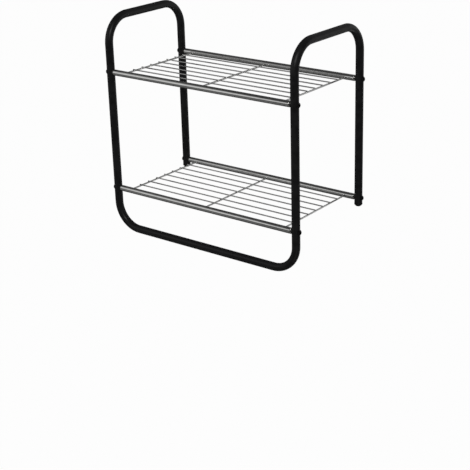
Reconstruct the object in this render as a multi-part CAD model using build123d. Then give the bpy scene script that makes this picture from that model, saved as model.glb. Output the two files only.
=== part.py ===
from build123d import *
from math import sqrt
import os

os.makedirs("parts", exist_ok=True)

# Layout of the rack, in millimetres
leg_spacing = 444.0  # between the axes of the left and right legs
leg_depth = 218.0  # between the axes of the front and rear legs
shelf_pitch = 243.0  # from the lower shelf's tubes to the upper shelf's
top_rise = 108.0  # from the upper shelf's tubes to the top bars
bar_drop = 82.0  # from the lower shelf's tubes down to the towel bar
leg_tail = 12.0  # what the legs reach below the lower shelf's tubes
keyhole_rise = 25.0  # from the upper shelf's tubes up to the keyholes

# Frame tube
frame_dia = 16.0
frame_wall = 1.0
bend_radius = 52.0
bend_flattening = 0.8  # width that a bend loses in its own plane
bend_bulge = 0.4  # width that it gains across that plane

# Reduced ends of the towel bar, inside the front legs
spigot_clearance = 0.1
spigot_rise = 16.0  # above the lower shelf's tubes
spigot_cone = 3.0
spigot_chamfer = 0.4

# Keyholes in the wall side of the rear legs
keyhole_entry_dia = 9.0
keyhole_slot_width = 4.6
keyhole_travel = 9.0  # from the entry's centre up to the slot's end

# Shelf tubes
shelf_dia = 12.0
shelf_wall = 0.8

# Screws through the legs into the shelf tubes
screw_dia = 4.9
screw_hole_clearance = 0.25
screw_head_dia = 10.4
screw_head_height = 3.3
screw_head_land = 0.6  # straight rim under the dome
screw_socket_flats = 3.0
screw_socket_depth = 1.6
thread_clearance = 0.05

# Saddles between the legs and the shelf tubes
saddle_dia = 11.0
saddle_crest = 0.8  # thickness where it is thinnest
saddle_round = 0.3

# Threaded inserts in the ends of the shelf tubes
insert_collar = 2.0
insert_neck_dia = 10.2  # where the collar meets the saddle
insert_depth = 14.0  # inside the tube
insert_clearance = 0.05
insert_chamfer = 0.6

# End caps of the rear legs
cap_flange_dia = 16.6
cap_flange = 1.2
cap_dome = 5.2
cap_plug = 8.0  # up inside the leg, below its lowest screw
cap_wall = 1.4
cap_clearance = 0.1
cap_chamfer = 0.8

# Wires of a shelf
cross_wire_dia = 3.3
cross_wire_inset = 31.0  # from the legs' axes
cross_wire_drop = 1.0  # below the shelf tubes' axes
long_wire_dia = 2.5
long_wire_count = 9
long_wire_overhang = 1.3  # past the outer cross wires' axes
weld_set_down = 0.45  # how far a lengthwise wire sinks on to a cross wire
edge_wire_gap = 0.2  # between the outer lengthwise wires and the shelf tubes

# Places, from the keyholes' line on the wall
leg_x = leg_spacing / 2
frame_r = frame_dia / 2
shelf_r = shelf_dia / 2
rear_y = -frame_r
front_y = rear_y - leg_depth
upper_z = -keyhole_rise
lower_z = upper_z - shelf_pitch
top_z = upper_z + top_rise
bar_z = lower_z - bar_drop
tail_z = lower_z - leg_tail
screw_hole_dia = screw_dia + 2 * screw_hole_clearance
levels = {"upper": upper_z, "lower": lower_z}
rows = {"front": front_y, "rear": rear_y}
sides = {"left": -1, "right": 1}

overrun = frame_dia  # how far a cutter reaches past what it cuts


def save(shape, name):
    shape.label = name
    export_step(shape, f"parts/{name}.step")


def rod(start, end, dia):
    """Round bar between two points."""
    run = Vector(*end) - Vector(*start)
    return extrude(Plane(origin=start, z_dir=run) * Circle(dia / 2), run.length)


def tube(start, end, dia, wall):
    """Round tube between two points."""
    return rod(start, end, dia) - rod(start, end, dia - 2 * wall)


def bend_core(centre, first, last, dia):
    """Quarter bend between two directions from its centre, flattened at its middle."""
    middle = (first + last).normalized()
    normal = first.cross(last)
    path = ThreePointArc(*(centre + way * bend_radius for way in (first, middle, last)))
    sections = []
    for share, way in ((0, first), (0.5, middle), (1, last)):
        loss = bend_flattening if way is middle else 0
        gain = bend_bulge if way is middle else 0
        plane = Plane(origin=path @ share, x_dir=normal, z_dir=path % share)
        sections.append(plane * Ellipse((dia + gain) / 2, (dia - loss) / 2))
    return sweep(sections, path=path, multisection=True)


def bend(centre, first, last):
    """Hollow quarter bend of frame tube."""
    outer = bend_core(centre, first, last, frame_dia)
    return outer - bend_core(centre, first, last, frame_dia - 2 * frame_wall)


def turned(*edges):
    """Solid of revolution about Z from edges drawn as radius and height."""
    return revolve(Plane.XZ * make_face(edges), Axis.Z)


def arc_radius(reach, rise):
    """Radius of an arc that rises by so much over a reach from its top."""
    return (reach**2 + rise**2) / (2 * rise)


def arc_rise(radius, reach):
    """How far such an arc falls away over a reach from its top."""
    return radius - sqrt(radius**2 - reach**2)


def facing(side, x, y, z):
    """Plane on a leg's joint whose normal points out of the rack on that side."""
    return Plane(origin=(x, y, z), x_dir=(0, 1, 0), z_dir=(side, 0, 0))


def side_hoop(side):
    """One tube: front leg, top bar and rear leg, with its screw holes and keyhole."""
    x = side * leg_x
    up = Vector(0, 0, 1)
    back = Vector(0, 1, 0)
    bend_z = top_z - bend_radius
    front_bend = Vector(x, front_y + bend_radius, bend_z)
    rear_bend = Vector(x, rear_y - bend_radius, bend_z)
    hoop = tube((x, front_y, tail_z), (x, front_y, bend_z), frame_dia, frame_wall)
    hoop += bend(front_bend, back * -1, up)
    hoop += tube((x, front_bend.Y, top_z), (x, rear_bend.Y, top_z), frame_dia, frame_wall)
    hoop += bend(rear_bend, up, back)
    hoop += tube((x, rear_y, bend_z), (x, rear_y, tail_z), frame_dia, frame_wall)
    for y in rows.values():
        for z in levels.values():
            hoop -= rod((x - frame_dia, y, z), (x + frame_dia, y, z), screw_hole_dia)
    return hoop - keyhole(x)


def keyhole(x):
    """Cutter for the keyhole in the rear leg's wall side."""
    entry = Circle(keyhole_entry_dia / 2)
    slot = Pos(0, keyhole_travel / 2) * Rectangle(keyhole_slot_width, keyhole_travel)
    end = Pos(0, keyhole_travel) * Circle(keyhole_slot_width / 2)
    wall = Plane(origin=(x, 0, 0), x_dir=(-1, 0, 0), z_dir=(0, 1, 0))
    return extrude(wall * (entry + slot + end), frame_r, both=True)


def towel_bar():
    """U-shaped tube whose reduced ends go up inside the front legs."""
    up = Vector(0, 0, 1)
    out = Vector(1, 0, 0)
    bend_x = leg_x - bend_radius
    bend_z = bar_z + bend_radius
    bar = tube((-bend_x, front_y, bar_z), (bend_x, front_y, bar_z), frame_dia, frame_wall)
    for side in sides.values():
        centre = Vector(side * bend_x, front_y, bend_z)
        bar += bend(centre, up * -1, out * side)
        bar += Pos(side * leg_x, front_y, 0) * swaged_end(bend_z)
    for side in sides.values():
        x = side * leg_x
        start = (x - frame_dia, front_y, lower_z)
        bar -= rod(start, (x + frame_dia, front_y, lower_z), screw_hole_dia)
    return bar


def swaged_end(bend_z):
    """Straight end of the towel bar, stepped in where it enters the leg."""
    spigot_r = frame_r - frame_wall - spigot_clearance
    bore_r = spigot_r - frame_wall
    top = lower_z + spigot_rise
    outline = Polyline(
        (frame_r - frame_wall, bend_z),
        (frame_r, bend_z),
        (frame_r, tail_z),
        (spigot_r, tail_z),
        (spigot_r, top - spigot_chamfer),
        (spigot_r - spigot_chamfer, top),
        (bore_r, top),
        (bore_r, tail_z),
        (frame_r - frame_wall, tail_z - spigot_cone),
        close=True,
    )
    return turned(outline)


def end_cap():
    """Plug with a flange and a domed foot, upright, its flange's top at zero."""
    plug_r = frame_r - frame_wall - cap_clearance
    flange_r = cap_flange_dia / 2
    foot = -cap_flange - cap_dome
    halfway = flange_r / 2
    on_dome = foot + arc_rise(arc_radius(flange_r, cap_dome), halfway)
    body = Polyline(
        (flange_r, -cap_flange),
        (flange_r, 0),
        (plug_r, 0),
        (plug_r, cap_plug - cap_chamfer),
        (plug_r - cap_chamfer, cap_plug),
        (plug_r - cap_wall, cap_plug),
        (plug_r - cap_wall, 0),
        (0, 0),
        (0, foot),
    )
    dome = ThreePointArc((0, foot), (halfway, on_dome), (flange_r, -cap_flange))
    return turned(body, dome)


def shelf_screw():
    """Domed socket screw along Z, its head's underside at zero, the shank below."""
    rim_r = screw_head_dia / 2
    top = screw_head_height
    halfway = rim_r / 2
    on_dome = top - arc_rise(arc_radius(rim_r, top - screw_head_land), halfway)
    length = frame_dia + saddle_crest + insert_collar + insert_depth - insert_chamfer
    dome = ThreePointArc((0, top), (halfway, on_dome), (rim_r, screw_head_land))
    body = Polyline(
        (rim_r, screw_head_land),
        (rim_r, 0),
        (screw_dia / 2, 0),
        (screw_dia / 2, -length),
        (0, -length),
        (0, top),
    )
    socket = RegularPolygon(screw_socket_flats / 2, 6, major_radius=False)
    floor = Plane.XY.offset(top - screw_socket_depth)
    return turned(dome, body) - extrude(floor * socket, screw_head_height)


def saddle():
    """Disc along Z that fits round the leg, its flat face at the crest's height."""
    flat = frame_r + saddle_crest
    disc = extrude(Circle(saddle_dia / 2), flat)
    disc = fillet(disc.edges().group_by(Axis.Z)[-1], saddle_round)
    disc -= rod((0, -frame_dia, 0), (0, frame_dia, 0), frame_dia)
    return disc - rod((0, 0, 0), (0, 0, flat + overrun), screw_hole_dia)


def threaded_insert():
    """Insert along Z, its collar's small face at zero, its body further up in the tube."""
    bore_r = screw_dia / 2 + thread_clearance
    neck_r = insert_neck_dia / 2
    body_r = shelf_r - shelf_wall - insert_clearance
    end = insert_collar + insert_depth
    halfway = insert_collar / 2
    on_crown = shelf_r - arc_rise(arc_radius(insert_collar, shelf_r - neck_r), halfway)
    crown = ThreePointArc((neck_r, 0), (on_crown, halfway), (shelf_r, insert_collar))
    body = Polyline(
        (shelf_r, insert_collar),
        (body_r, insert_collar),
        (body_r, end - insert_chamfer),
        (body_r - insert_chamfer, end),
        (bore_r, end),
        (bore_r, 0),
        (neck_r, 0),
    )
    return turned(crown, body)


def cross_wire(x, z):
    """Wire from the front tube to the rear tube, coped to seat on both."""
    level = z - cross_wire_drop
    wire = rod((x, front_y, level), (x, rear_y, level), cross_wire_dia)
    for y in rows.values():
        wire -= rod((x - overrun, y, z), (x + overrun, y, z), shelf_dia)
    return wire


def long_wire(number, z, cross_places):
    """Lengthwise wire, notched where it is welded down on the cross wires."""
    edge = shelf_r + long_wire_dia / 2 + edge_wire_gap
    pitch = (leg_depth - 2 * edge) / (long_wire_count - 1)
    y = front_y + edge + number * pitch
    cross_level = z - cross_wire_drop
    level = cross_level + (cross_wire_dia + long_wire_dia) / 2 - weld_set_down
    reach = max(cross_places) + long_wire_overhang
    wire = rod((-reach, y, level), (reach, y, level), long_wire_dia)
    for x in cross_places:
        start = (x, y - overrun, cross_level)
        wire -= rod(start, (x, y + overrun, cross_level), cross_wire_dia)
    return wire


# Frame
for side_name, side in sides.items():
    save(side_hoop(side), f"{side_name}_side_hoop")
save(towel_bar(), "towel_bar")
for side_name, side in sides.items():
    cap = Pos(side * leg_x, rear_y, tail_z) * end_cap()
    save(cap, f"{side_name}_rear_leg_cap")

# Shelf tubes and wires
tube_end = leg_x - frame_r - saddle_crest - insert_collar
cross_x = leg_x - cross_wire_inset
cross_places = {"left": -cross_x, "middle": 0, "right": cross_x}
for level_name, z in levels.items():
    for row_name, y in rows.items():
        shelf_tube = tube((-tube_end, y, z), (tube_end, y, z), shelf_dia, shelf_wall)
        save(shelf_tube, f"{level_name}_shelf_{row_name}_tube")
    for place, x in cross_places.items():
        save(cross_wire(x, z), f"{level_name}_shelf_cross_wire_{place}")
    for number in range(long_wire_count):
        wire = long_wire(number, z, cross_places.values())
        save(wire, f"{level_name}_shelf_wire_{number + 1}")

# Joints between the legs and the shelf tubes
screws = []
for level_name, z in levels.items():
    for row_name, y in rows.items():
        for side_name, side in sides.items():
            joint = f"{level_name}_{side_name}_{row_name}"
            inward = facing(-side, side * leg_x, y, z)
            save(inward * saddle(), f"{joint}_saddle")
            collar = inward.offset(frame_r + saddle_crest)
            save(collar * threaded_insert(), f"{joint}_tube_insert")
            head = facing(side, side * (leg_x + frame_r), y, z)
            screws.append(head * shelf_screw())
save(Compound(children=screws), "shelf_screws")
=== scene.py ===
import math

import bmesh
import bpy
from mathutils import Matrix, Vector


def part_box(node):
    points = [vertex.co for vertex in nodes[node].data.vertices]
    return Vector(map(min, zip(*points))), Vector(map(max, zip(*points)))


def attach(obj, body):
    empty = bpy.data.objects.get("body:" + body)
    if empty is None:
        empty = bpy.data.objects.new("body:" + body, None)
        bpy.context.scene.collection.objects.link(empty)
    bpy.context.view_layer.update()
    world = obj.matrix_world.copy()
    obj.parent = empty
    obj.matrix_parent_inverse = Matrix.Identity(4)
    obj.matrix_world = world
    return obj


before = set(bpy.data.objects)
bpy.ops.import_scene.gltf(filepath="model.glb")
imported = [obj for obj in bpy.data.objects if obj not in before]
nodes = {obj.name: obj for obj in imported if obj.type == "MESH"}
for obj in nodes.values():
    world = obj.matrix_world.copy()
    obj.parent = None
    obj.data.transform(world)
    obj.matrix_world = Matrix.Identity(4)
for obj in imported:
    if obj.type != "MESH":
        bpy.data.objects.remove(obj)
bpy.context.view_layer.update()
mm = 0.001
plainWhite = "ffffff"
noiseReach = (0.35, 0.65)  # nearly all values of a noise texture lie between these


def hexColour(code):
    # an sRGB hex code as a linear colour
    values = []
    for i in (0, 2, 4):
        v = int(code[i:i + 2], 16) / 255
        values.append(v / 12.92 if v <= 0.04045 else ((v + 0.055) / 1.055) ** 2.4)
    return (*values, 1.0)


def addNode(tree, kind, settings=None, links=None):
    # settings go to sockets or to the node itself, links join sockets of other nodes
    node = tree.nodes.new(kind)
    for name, value in (settings or {}).items():
        if isinstance(name, int) or name in node.inputs:
            node.inputs[name].default_value = value
        else:
            setattr(node, name, value)
    for name, socket in (links or {}).items():
        tree.links.new(socket, node.inputs[name])
    return node


def emptyTree(owner):
    # the node tree of a material or of the world, with nothing in it
    owner.use_nodes = True
    owner.node_tree.nodes.clear()
    return owner.node_tree


def newMaterial(name, shader):
    # a material with one principled shader; place is the point in object space
    material = bpy.data.materials.new(name)
    tree = emptyTree(material)
    place = addNode(tree, "ShaderNodeTexCoord").outputs["Object"]
    surface = addNode(tree, "ShaderNodeBsdfPrincipled", shader)
    addNode(tree, "ShaderNodeOutputMaterial", None, {"Surface": surface.outputs["BSDF"]})
    return material, tree, place, surface


def patternAt(tree, place, grain, stretch=(1, 1, 1), detail=3, full=False):
    # noise whose grain is a real size in millimetres, drawn out along an axis by stretch;
    # a full pattern reaches from 0 to 1
    scaled = addNode(tree, "ShaderNodeMapping", {"Scale": [1 / s for s in stretch]}, {"Vector": place})
    noise = addNode(tree, "ShaderNodeTexNoise",
                    {"Scale": 1 / (grain * mm), "Detail": detail},
                    {"Vector": scaled.outputs["Vector"]}).outputs["Fac"]
    if not full:
        return noise
    return addNode(tree, "ShaderNodeMapRange",
                   {"From Min": noiseReach[0], "From Max": noiseReach[1]},
                   {"Value": noise}).outputs["Result"]


def dress(tree, surface, look, tint, gloss, relief):
    # three patterns lead the look's colour, its roughness and its height, which is in millimetres;
    # inputs 0, 6 and 7 of a colour mix are its share and its two colours, output 2 the colour
    colour = addNode(tree, "ShaderNodeMix",
                     {"data_type": "RGBA", 6: hexColour(look["dark"]), 7: hexColour(look["light"])},
                     {0: tint}).outputs[2]
    rough = addNode(tree, "ShaderNodeMapRange",
                    {"From Min": noiseReach[0], "From Max": noiseReach[1],
                     "To Min": look["rough"][0], "To Max": look["rough"][1]},
                    {"Value": gloss}).outputs["Result"]
    bump = addNode(tree, "ShaderNodeBump", {"Strength": 1.0, "Distance": look["height"] * mm},
                   {"Height": relief}).outputs["Normal"]
    for name, socket in (("Base Color", colour), ("Roughness", rough), ("Normal", bump)):
        tree.links.new(socket, surface.inputs[name])


def finishMesh(bm, name):
    mesh = bpy.data.meshes.new(name)
    bm.to_mesh(mesh)
    bm.free()
    piece = bpy.data.objects.new(name, mesh)
    bpy.context.scene.collection.objects.link(piece)
    return piece


# Black polyester powder coat, sprayed dry and baked: satin, with a fine orange peel
powderCoat = {
    "ior": 1.5,
    "specular": 0.25,  # matched to the object, half the usual level
    "dark": "0f0f10",
    "light": "161617",
    "cloud": 14,  # mm, thicker and thinner places of the coat
    "peel": 1.6,  # mm from dimple to dimple
    "rough": (0.34, 0.42),
    "height": 0.012,  # mm
}


def makePowderCoat():
    p = powderCoat
    m, tree, place, surface = newMaterial("satin_powder_coat_on_steel",
                                          {"IOR": p["ior"], "Specular IOR Level": p["specular"]})
    cloud = patternAt(tree, place, p["cloud"], detail=4, full=True)
    peel = patternAt(tree, place, p["peel"], detail=2)
    dress(tree, surface, p, cloud, cloud, peel)
    return m


# Bright chromium plate straight on drawn steel: a grey mirror over fine lengthwise drawing lines
chromePlate = {
    "dark": "cfcfce",
    "light": "dcdcda",
    "cloud": 9,  # mm, greyer and whiter places of the plate
    "line": 1.2,  # mm from line to line, coarser than the real drawing lines so that they show
    "lineLength": 60,  # in widths of a line
    "rough": (0.10, 0.17),
    "height": 0.003,  # mm
}


def makeChrome(name, axis):
    # the lines run along X, axis 0, or along Y, axis 1
    c = chromePlate
    m, tree, place, surface = newMaterial(name, {"Metallic": 1.0})
    cloud = patternAt(tree, place, c["cloud"], detail=4, full=True)
    stretch = [c["lineLength"] if i == axis else 1 for i in range(3)]
    drawn = patternAt(tree, place, c["line"], stretch)
    dress(tree, surface, c, cloud, drawn, drawn)
    return m


# Turned steel under bright nickel: warm and shiny, with tool rings round the insert
turnedNickel = {
    "dark": "d2d0cb",
    "light": "e2e1dd",
    "ring": 0.6,  # mm from ring to ring, coarser than the real feed so that they show
    "ringReach": 40,  # how far a ring goes round, in its own widths
    "rough": (0.12, 0.22),
    "height": 0.006,  # mm
}


def makeNickel():
    n = turnedNickel
    m, tree, place, surface = newMaterial("bright_nickel_on_turned_steel", {"Metallic": 1.0})
    rings = patternAt(tree, place, n["ring"], (1, n["ringReach"], n["ringReach"]), detail=1)
    dress(tree, surface, n, rings, rings, rings)
    return m


# Injection-moulded polyamide from a spark-eroded tool: dull, with a fine even grain
mouldedNylon = {
    "ior": 1.53,
    "dark": "0c0c0c",
    "light": "141414",
    "cloud": 6,  # mm, where the melt cooled sooner or later
    "grain": 0.5,  # mm, coarser than the real spark grain so that it shows
    "rough": (0.48, 0.6),
    "height": 0.015,  # mm
}


def makeNylon():
    n = mouldedNylon
    m, tree, place, surface = newMaterial("moulded_black_nylon", {"IOR": n["ior"]})
    cloud = patternAt(tree, place, n["cloud"], full=True)
    grain = patternAt(tree, place, n["grain"], detail=2)
    dress(tree, surface, n, cloud, grain, grain)
    return m


# Black zinc passivate on a cold-headed steel screw: thin, half-bright over the metal
blackPassivate = {
    "metallic": 0.6,  # matched to the object, because the film is part oxide
    "dark": "0f0f10",
    "light": "1b1b1d",
    "cloud": 1.5,  # mm, thicker and thinner places of the film
    "rough": (0.3, 0.42),
    "height": 0.004,  # mm
}


def makeBlackZinc():
    b = blackPassivate
    m, tree, place, surface = newMaterial("black_passivated_zinc", {"Metallic": b["metallic"]})
    cloud = patternAt(tree, place, b["cloud"], detail=4, full=True)
    dress(tree, surface, b, cloud, cloud, cloud)
    return m


powder = makePowderCoat()
chromeAlong = makeChrome("chrome_plate_on_drawn_steel", 0)
chromeAcross = makeChrome("chrome_plate_on_cross_wire", 1)
nickel = makeNickel()
nylon = makeNylon()
blackZinc = makeBlackZinc()

for name, part in nodes.items():
    if "hoop" in name or name == "towel_bar":
        finish = powder
    elif name.endswith("_saddle") or name.endswith("_cap"):
        finish = nylon
    elif name.endswith("_insert"):
        finish = nickel
    elif name == "shelf_screws":
        finish = blackZinc
    elif "cross_wire" in name:
        finish = chromeAcross
    else:
        finish = chromeAlong
    part.data.materials.clear()
    part.data.materials.append(finish)
print("materials on", len(nodes), "nodes")


# Spot welds of the shelf grid: a flat lens of squeezed-out steel round each crossing,
# and a bead round each cross wire's end on the tube
gridWelds = {
    "wires": 9,  # lengthwise wires of one shelf
    "lens": (1.45, 1.45, 0.45),  # half its size along X, Y and Z, in millimetres
    "lensSink": 0.1,  # mm below the middle of the overlap
    "bead": (3.0, 1.7, 3.0),  # the same for the bead
    "faces": (10, 6),  # few, because there are many welds
}


def addBlob(bm, centre, halfSizes):
    # a small faceted ellipsoid
    around, along = gridWelds["faces"]
    made = bmesh.ops.create_uvsphere(bm, u_segments=around, v_segments=along, radius=1.0)
    bmesh.ops.scale(bm, verts=made["verts"], vec=[size * mm for size in halfSizes])
    bmesh.ops.translate(bm, verts=made["verts"], vec=centre)


def makeGridWelds(level):
    g = gridWelds
    lenses, beads = bmesh.new(), bmesh.new()
    wires = [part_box(f"{level}_shelf_wire_{number + 1}") for number in range(g["wires"])]
    tubes = [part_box(f"{level}_shelf_{row}_tube") for row in ("front", "rear")]
    for place in ("left", "middle", "right"):
        low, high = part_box(f"{level}_shelf_cross_wire_{place}")
        cross = (low + high) / 2
        for wireLow, wireHigh in wires:
            wire = (wireLow + wireHigh) / 2
            touch = (high.z + wireLow.z) / 2 - g["lensSink"] * mm
            addBlob(lenses, (cross.x, wire.y, touch), g["lens"])
        for (tubeLow, tubeHigh), inward in zip(tubes, (1, -1)):
            tube = (tubeLow + tubeHigh) / 2
            radius = (tubeHigh.z - tubeLow.z) / 2
            drop = tube.z - cross.z
            face = tube.y + inward * math.sqrt(radius ** 2 - drop ** 2)
            addBlob(beads, (cross.x, face, cross.z), g["bead"])
    for bm, kind in ((lenses, "spot_welds"), (beads, "end_beads")):
        for face in bm.faces:
            face.smooth = True
        piece = finishMesh(bm, f"{level}_shelf_{kind}")
        piece.data.materials.append(chromeAlong)
        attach(piece, "root")


for level in ("upper", "lower"):
    makeGridWelds(level)
print("welds on the shelf grids")


def seenRays(tree):
    # 1 for camera, glossy and transmission rays, 0 for those that light the object
    rays = addNode(tree, "ShaderNodeLightPath")
    seen = rays.outputs["Is Camera Ray"]
    for kind in ("Is Glossy Ray", "Is Transmission Ray"):
        seen = addNode(tree, "ShaderNodeMath", {"operation": "MAXIMUM"},
                       {0: seen, 1: rays.outputs[kind]}).outputs[0]
    return seen


# The white room: plain white to look at, a little less as light on the rack
whiteRoom = {"colour": "fafafa", "fill": 0.82}


def makeWorld():
    world = bpy.data.worlds.new("studio_white")
    bpy.context.scene.world = world
    tree = emptyTree(world)
    soft = addNode(tree, "ShaderNodeBackground",
                   {"Color": hexColour(whiteRoom["colour"]), "Strength": whiteRoom["fill"]})
    plain = addNode(tree, "ShaderNodeBackground", {"Color": hexColour(plainWhite), "Strength": 1.0})
    mixed = addNode(tree, "ShaderNodeMixShader", None,
                    {0: seenRays(tree), 1: soft.outputs[0], 2: plain.outputs[0]})
    addNode(tree, "ShaderNodeOutputWorld", None, {"Surface": mixed.outputs[0]})


# The floor lies well under the rack, which hangs on a wall
paleFloor = {
    "height": -1.6,
    "side": 40.0,
    "colour": "fcfcfc",
    "whiteShare": 0.92,  # shows plain white, the rest takes the shadow
}


def makeFloor():
    bm = bmesh.new()
    bmesh.ops.create_grid(bm, x_segments=1, y_segments=1, size=paleFloor["side"] / 2)
    bmesh.ops.translate(bm, verts=bm.verts, vec=(0, 0, paleFloor["height"]))
    floor = finishMesh(bm, "studio_floor")
    material = bpy.data.materials.new("pale_painted_floor")
    tree = emptyTree(material)
    matt = addNode(tree, "ShaderNodeBsdfDiffuse", {"Color": hexColour(paleFloor["colour"])})
    plain = addNode(tree, "ShaderNodeEmission", {"Color": hexColour(plainWhite), "Strength": 1.0})
    share = addNode(tree, "ShaderNodeMath", {"operation": "MULTIPLY", 1: paleFloor["whiteShare"]},
                    {0: seenRays(tree)})
    mixed = addNode(tree, "ShaderNodeMixShader", None,
                    {0: share.outputs[0], 1: matt.outputs[0], 2: plain.outputs[0]})
    addNode(tree, "ShaderNodeOutputMaterial", None, {"Surface": mixed.outputs[0]})
    floor.data.materials.append(material)


# Black flags hung all round, seen in reflections alone, with soft openings on to the white room
blackFlags = {
    "radius": 1.4,
    "middle": (0, -0.12, -0.13),  # about the middle of the rack
    "faces": (48, 24),
    "glow": 0.055,  # what the cloth gives back of plain white
}

# where the flags are open: direction, inner and outer angle in degrees, share of the white let through
openings = [
    {"way": (-0.60, -0.74, 0.31), "inner": 10, "outer": 27, "open": 0.74},
    {"way": (-0.72, -0.46, 0.53), "inner": 6, "outer": 22, "open": 0.26},
    {"way": (-0.92, 0.05, 0.30), "inner": 10, "outer": 50, "open": 0.06},
    {"way": (-0.60, -0.62, -0.50), "inner": 10, "outer": 34, "open": 0.12},
    {"way": (0.38, 0.90, 0.08), "inner": 20, "outer": 42, "open": 0.37},
    {"way": (0.60, 0.76, 0.15), "inner": 10, "outer": 26, "open": 0.64},
    {"way": (0.10, 0.75, 0.65), "inner": 10, "outer": 40, "open": 0.20},
    {"way": (0.60, -0.40, -0.70), "inner": 8, "outer": 22, "open": 0.36},
    {"way": (0.38, 0.69, -0.62), "inner": 6, "outer": 20, "open": 1.0},
]


def openShare(tree, way, gap):
    # how much one opening lets through towards way, soft from its outer to its inner angle
    facing = addNode(tree, "ShaderNodeVectorMath",
                     {"operation": "DOT_PRODUCT", 1: Vector(gap["way"]).normalized()}, {0: way})
    angle = addNode(tree, "ShaderNodeMath", {"operation": "ARCCOSINE"}, {0: facing.outputs["Value"]})
    return addNode(tree, "ShaderNodeMapRange",
                   {"interpolation_type": "SMOOTHSTEP",
                    "From Min": math.radians(gap["outer"]), "From Max": math.radians(gap["inner"]),
                    "To Min": 0.0, "To Max": gap["open"]},
                   {"Value": angle.outputs[0]}).outputs["Result"]


def makeFlags():
    around, along = blackFlags["faces"]
    bm = bmesh.new()
    bmesh.ops.create_uvsphere(bm, u_segments=around, v_segments=along, radius=blackFlags["radius"])
    dome = finishMesh(bm, "studio_flags")
    dome.location = blackFlags["middle"]
    material = bpy.data.materials.new("black_flag_cloth")
    tree = emptyTree(material)
    place = addNode(tree, "ShaderNodeTexCoord").outputs["Object"]
    way = addNode(tree, "ShaderNodeVectorMath", {"operation": "NORMALIZE"}, {0: place}).outputs[0]
    clear = openShare(tree, way, openings[0])
    for gap in openings[1:]:
        clear = addNode(tree, "ShaderNodeMath", {"operation": "MAXIMUM"},
                        {0: clear, 1: openShare(tree, way, gap)}).outputs[0]
    cloth = addNode(tree, "ShaderNodeEmission",
                    {"Color": hexColour(plainWhite), "Strength": blackFlags["glow"]})
    through = addNode(tree, "ShaderNodeBsdfTransparent")
    mixed = addNode(tree, "ShaderNodeMixShader", None,
                    {0: clear, 1: cloth.outputs[0], 2: through.outputs[0]})
    addNode(tree, "ShaderNodeOutputMaterial", None, {"Surface": mixed.outputs[0]})
    dome.data.materials.append(material)
    for rays in ("camera", "diffuse", "transmission", "volume_scatter", "shadow"):
        setattr(dome, "visible_" + rays, False)


# One small softbox in front, a little to the right and above: the streaks on the black bends
keySoftbox = {
    "azimuth": 24.0,  # degrees from straight in front towards the right
    "elevation": 31.5,
    "distance": 1.3,
    "side": 0.30,
    "radiance": 12.5,  # its power follows from this and its side
}


def makeKey():
    k = keySoftbox
    data = bpy.data.lights.new("key_softbox", "AREA")
    data.shape = "SQUARE"
    data.size = k["side"]
    data.energy = k["radiance"] * math.pi * k["side"] ** 2
    lamp = bpy.data.objects.new("key_softbox", data)
    a, e = math.radians(k["azimuth"]), math.radians(k["elevation"])
    way = Vector((math.sin(a) * math.cos(e), -math.cos(a) * math.cos(e), math.sin(e)))
    lamp.location = way * k["distance"]
    lamp.rotation_euler = way.to_track_quat("Z", "Y").to_euler()
    lamp.visible_camera = False
    bpy.context.scene.collection.objects.link(lamp)


makeWorld()
makeFloor()
makeFlags()
makeKey()
print("studio set")


# The camera of the photograph, fitted to the rack's tubes
cameraPlace = {
    "spot": (1.3426, -1.8299, 0.5296),
    "azimuth": 35.662,  # degrees, as elevation and roll
    "elevation": 19.972,
    "roll": -0.811,
    "focal": 1144.6,  # in pixels of the photograph
    "centre": (282.0, 188.0),  # pixel that the lens axis goes through
    "pixels": 470,
    "sensor": 36.0,  # mm
    "near": 0.05,  # nothing nearer than this is drawn
}


def makeCamera():
    c = cameraPlace
    data = bpy.data.cameras.new("photo_view")
    data.sensor_width = c["sensor"]
    data.lens = c["focal"] * c["sensor"] / c["pixels"]
    data.shift_x = (c["pixels"] / 2 - c["centre"][0]) / c["pixels"]
    data.shift_y = (c["centre"][1] - c["pixels"] / 2) / c["pixels"]
    data.clip_start = c["near"]
    camera = bpy.data.objects.new("photo_view", data)
    turn = Matrix.Rotation(math.radians(c["azimuth"]), 4, "Z")
    tip = Matrix.Rotation(math.radians(90 - c["elevation"]), 4, "X")
    roll = Matrix.Rotation(math.radians(c["roll"]), 4, "Z")
    camera.matrix_world = Matrix.Translation(c["spot"]) @ turn @ tip @ roll
    bpy.context.scene.collection.objects.link(camera)
    bpy.context.scene.camera = camera


makeCamera()
bpy.context.scene.view_settings.view_transform = "Standard"
print("camera placed")
